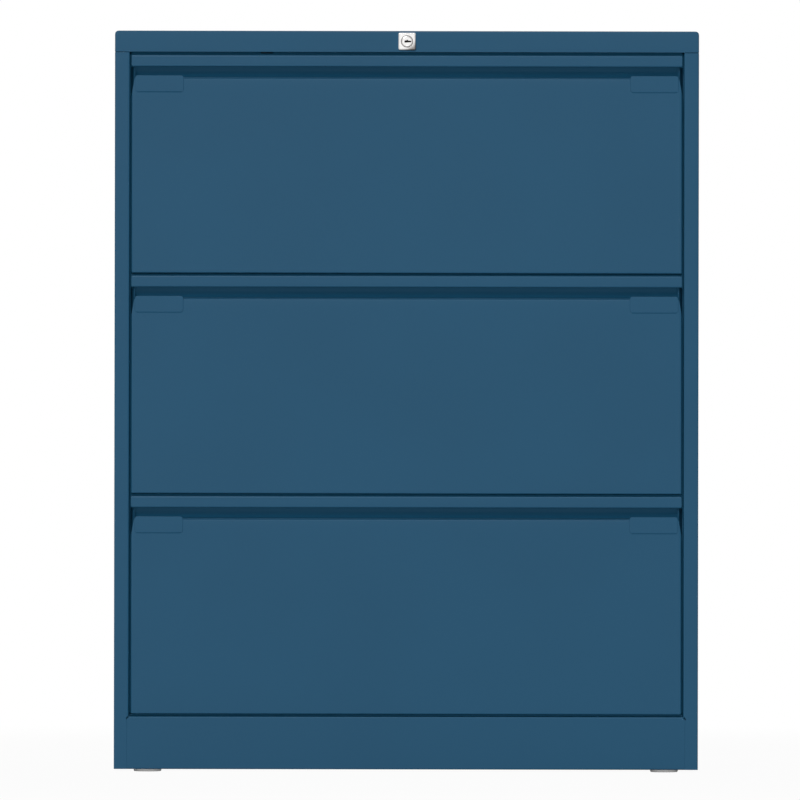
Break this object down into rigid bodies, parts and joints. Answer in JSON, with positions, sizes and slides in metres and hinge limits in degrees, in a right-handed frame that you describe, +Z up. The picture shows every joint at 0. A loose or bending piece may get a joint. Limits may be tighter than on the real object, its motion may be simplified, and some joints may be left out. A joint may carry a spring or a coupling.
{
  "type": "lateral filing cabinet",
  "caption": "Free-standing sheet-steel lateral filing cabinet: flush drawers on telescopic runners, full-width recessed grips, and a central lock in the top rail.",
  "frame": {"origin": "on the floor under the middle of the carcase", "axes": "+Z up, the drawer fronts face -Y, +X to the right of someone facing the fronts"},
  "size_m": [0.8, 0.474, 1.016],
  "materials": {
    "carcase_paint": "semi-matt powder coat, slate blue",
    "front_paint": "semi-matt powder coat, slate blue",
    "inner_paint": "semi-matt powder coat, slate blue, on inner sheet parts",
    "zinc": "bright zinc plate",
    "runner_zinc": "bright zinc plate, rolled",
    "nickel": "polished nickel plate",
    "foot_plastic": "black nylon"
  },
  "bodies": {
    "carcase": {"side_panel_left": "carcase_paint", "side_panel_right": "carcase_paint", "top_cap": "carcase_paint", "back_panel": "carcase_paint", "base_panel": "carcase_paint", "plinth": "carcase_paint", "upright_front_left": "inner_paint", "upright_front_right": "inner_paint", "upright_rear_left": "inner_paint", "upright_rear_right": "inner_paint", "lock_housing": "nickel", "lock_link_guide": "zinc", "lock_crank_bracket": "zinc", "lock_bar_guide_upper": "zinc", "lock_bar_guide_lower": "zinc", "drawer_1_runner_outer_left": "runner_zinc", "drawer_1_runner_outer_right": "runner_zinc", "drawer_2_runner_outer_left": "runner_zinc", "drawer_2_runner_outer_right": "runner_zinc", "drawer_3_runner_outer_left": "runner_zinc", "drawer_3_runner_outer_right": "runner_zinc"},
    "foot_front_left": {"foot_front_left": "foot_plastic"},
    "foot_front_right": {"foot_front_right": "foot_plastic"},
    "foot_rear_left": {"foot_rear_left": "foot_plastic"},
    "foot_rear_right": {"foot_rear_right": "foot_plastic"},
    "drawer_1": {"drawer_1_front_panel": "front_paint", "drawer_1_grip_rail": "front_paint", "drawer_1_tray": "inner_paint", "drawer_1_file_rail_front": "zinc", "drawer_1_file_rail_rear": "zinc", "drawer_1_lock_catch": "zinc", "drawer_1_runner_inner_left": "runner_zinc", "drawer_1_runner_inner_right": "runner_zinc"},
    "drawer_1_runner_middle_left": {"drawer_1_runner_middle_left": "runner_zinc"},
    "drawer_1_runner_middle_right": {"drawer_1_runner_middle_right": "runner_zinc"},
    "drawer_2": {"drawer_2_front_panel": "front_paint", "drawer_2_grip_rail": "front_paint", "drawer_2_tray": "inner_paint", "drawer_2_file_rail_front": "zinc", "drawer_2_file_rail_rear": "zinc", "drawer_2_lock_catch": "zinc", "drawer_2_runner_inner_left": "runner_zinc", "drawer_2_runner_inner_right": "runner_zinc"},
    "drawer_2_runner_middle_left": {"drawer_2_runner_middle_left": "runner_zinc"},
    "drawer_2_runner_middle_right": {"drawer_2_runner_middle_right": "runner_zinc"},
    "drawer_3": {"drawer_3_front_panel": "front_paint", "drawer_3_grip_rail": "front_paint", "drawer_3_tray": "inner_paint", "drawer_3_file_rail_front": "zinc", "drawer_3_file_rail_rear": "zinc", "drawer_3_lock_catch": "zinc", "drawer_3_runner_inner_left": "runner_zinc", "drawer_3_runner_inner_right": "runner_zinc"},
    "drawer_3_runner_middle_left": {"drawer_3_runner_middle_left": "runner_zinc"},
    "drawer_3_runner_middle_right": {"drawer_3_runner_middle_right": "runner_zinc"},
    "lock_barrel": {"lock_barrel": "nickel", "lock_cam": "zinc"},
    "lock_link": {"lock_link": "zinc"},
    "lock_crank": {"lock_crank": "zinc"},
    "lock_bar": {"lock_bar": "zinc"}
  },
  "joints": [
    {"name": "foot_front_left_turn", "type": "hinge", "parent": "carcase", "child": "foot_front_left", "pos_m": [-0.355, -0.18, 0], "axis": [0, 0, 1], "continuous": true},
    {"name": "foot_front_right_turn", "type": "hinge", "parent": "carcase", "child": "foot_front_right", "pos_m": [0.355, -0.18, 0], "axis": [0, 0, 1], "continuous": true},
    {"name": "foot_rear_left_turn", "type": "hinge", "parent": "carcase", "child": "foot_rear_left", "pos_m": [-0.355, 0.18, 0], "axis": [0, 0, 1], "continuous": true},
    {"name": "foot_rear_right_turn", "type": "hinge", "parent": "carcase", "child": "foot_rear_right", "pos_m": [0.355, 0.18, 0], "axis": [0, 0, 1], "continuous": true},
    {"name": "drawer_1_slide", "type": "slide", "parent": "carcase", "child": "drawer_1", "axis": [0, -1, 0], "range_m": [0, 0.4]},
    {"name": "drawer_1_runner_middle_left_slide", "type": "slide", "parent": "carcase", "child": "drawer_1_runner_middle_left", "axis": [0, -1, 0], "range_m": [0, 0.2]},
    {"name": "drawer_1_runner_middle_right_slide", "type": "slide", "parent": "carcase", "child": "drawer_1_runner_middle_right", "axis": [0, -1, 0], "range_m": [0, 0.2]},
    {"name": "drawer_2_slide", "type": "slide", "parent": "carcase", "child": "drawer_2", "axis": [0, -1, 0], "range_m": [0, 0.4]},
    {"name": "drawer_2_runner_middle_left_slide", "type": "slide", "parent": "carcase", "child": "drawer_2_runner_middle_left", "axis": [0, -1, 0], "range_m": [0, 0.2]},
    {"name": "drawer_2_runner_middle_right_slide", "type": "slide", "parent": "carcase", "child": "drawer_2_runner_middle_right", "axis": [0, -1, 0], "range_m": [0, 0.2]},
    {"name": "drawer_3_slide", "type": "slide", "parent": "carcase", "child": "drawer_3", "axis": [0, -1, 0], "range_m": [0, 0.4]},
    {"name": "drawer_3_runner_middle_left_slide", "type": "slide", "parent": "carcase", "child": "drawer_3_runner_middle_left", "axis": [0, -1, 0], "range_m": [0, 0.2]},
    {"name": "drawer_3_runner_middle_right_slide", "type": "slide", "parent": "carcase", "child": "drawer_3_runner_middle_right", "axis": [0, -1, 0], "range_m": [0, 0.2]},
    {"name": "lock_bar_slide", "type": "slide", "parent": "carcase", "child": "lock_bar", "axis": [0, 0, 1], "range_m": [0, 0.01272]},
    {"name": "lock_turn", "type": "hinge", "parent": "carcase", "child": "lock_barrel", "pos_m": [0, -0.235, 1.0015], "axis": [0, 1, 0], "range_deg": [0, 92]},
    {"name": "lock_link_slide", "type": "slide", "parent": "carcase", "child": "lock_link", "axis": [-1, 0, 0], "range_m": [0, 0.013]},
    {"name": "lock_crank_turn", "type": "hinge", "parent": "carcase", "child": "lock_crank", "pos_m": [-0.3844, -0.208, 1.0015], "axis": [0, 1, 0], "range_deg": [0, 92]}
  ],
  "couplings": [
    {"joint": "drawer_1_runner_middle_left_slide", "follows": "drawer_1_slide", "ratio": 0.5},
    {"joint": "drawer_1_runner_middle_right_slide", "follows": "drawer_1_slide", "ratio": 0.5},
    {"joint": "drawer_2_runner_middle_left_slide", "follows": "drawer_2_slide", "ratio": 0.5},
    {"joint": "drawer_2_runner_middle_right_slide", "follows": "drawer_2_slide", "ratio": 0.5},
    {"joint": "drawer_3_runner_middle_left_slide", "follows": "drawer_3_slide", "ratio": 0.5},
    {"joint": "drawer_3_runner_middle_right_slide", "follows": "drawer_3_slide", "ratio": 0.5},
    {"joint": "lock_turn", "follows": "lock_bar_slide", "rad_per_m": 123.41},
    {"joint": "lock_link_slide", "follows": "lock_bar_slide", "ratio": 1},
    {"joint": "lock_crank_turn", "follows": "lock_bar_slide", "rad_per_m": 123.41}
  ]
}
